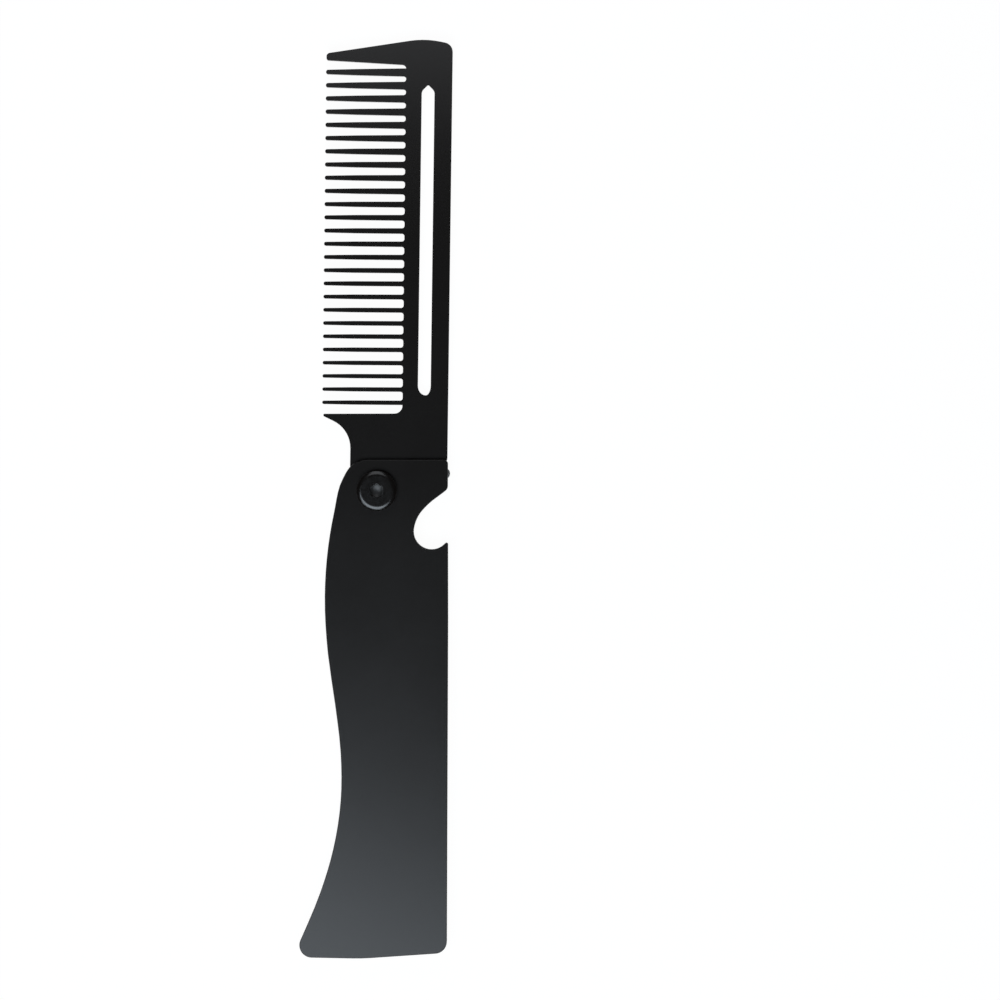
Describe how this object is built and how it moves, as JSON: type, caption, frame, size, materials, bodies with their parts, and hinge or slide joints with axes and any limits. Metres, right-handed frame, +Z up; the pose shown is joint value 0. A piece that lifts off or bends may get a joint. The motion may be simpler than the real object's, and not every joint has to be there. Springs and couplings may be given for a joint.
{
  "type": "folding comb",
  "caption": "Folding pocket comb: a slotted steel comb turns on a screw pivot into a waisted plate handle with a bottle-opener notch.",
  "frame": {"origin": "on the pivot's axis, in the flat outer face of the pivot nut's rear head, which the open comb rests on", "axes": "+Y along the open comb from the pivot to the comb's tip, +X across it towards the straight back of the handle, +Z up out of the front plate"},
  "size_m": [0.0306, 0.1836, 0.0068],
  "materials": {
    "black_coat": "satin",
    "black_screw": "satin",
    "bare_steel": "satin"
  },
  "bodies": {
    "handle": {"front_plate": "black_coat", "rear_plate": "black_coat", "back_spacer": "black_coat", "stop_pin": "bare_steel", "pivot_screw": "black_screw", "pivot_nut": "black_screw"},
    "comb": {"comb_plate": "black_coat"}
  },
  "joints": [
    {"name": "comb_fold", "type": "hinge", "parent": "handle", "child": "comb", "pos_m": [0, 0, 0.0031], "axis": [0, 0, 1], "range_deg": [0, 180]}
  ]
}
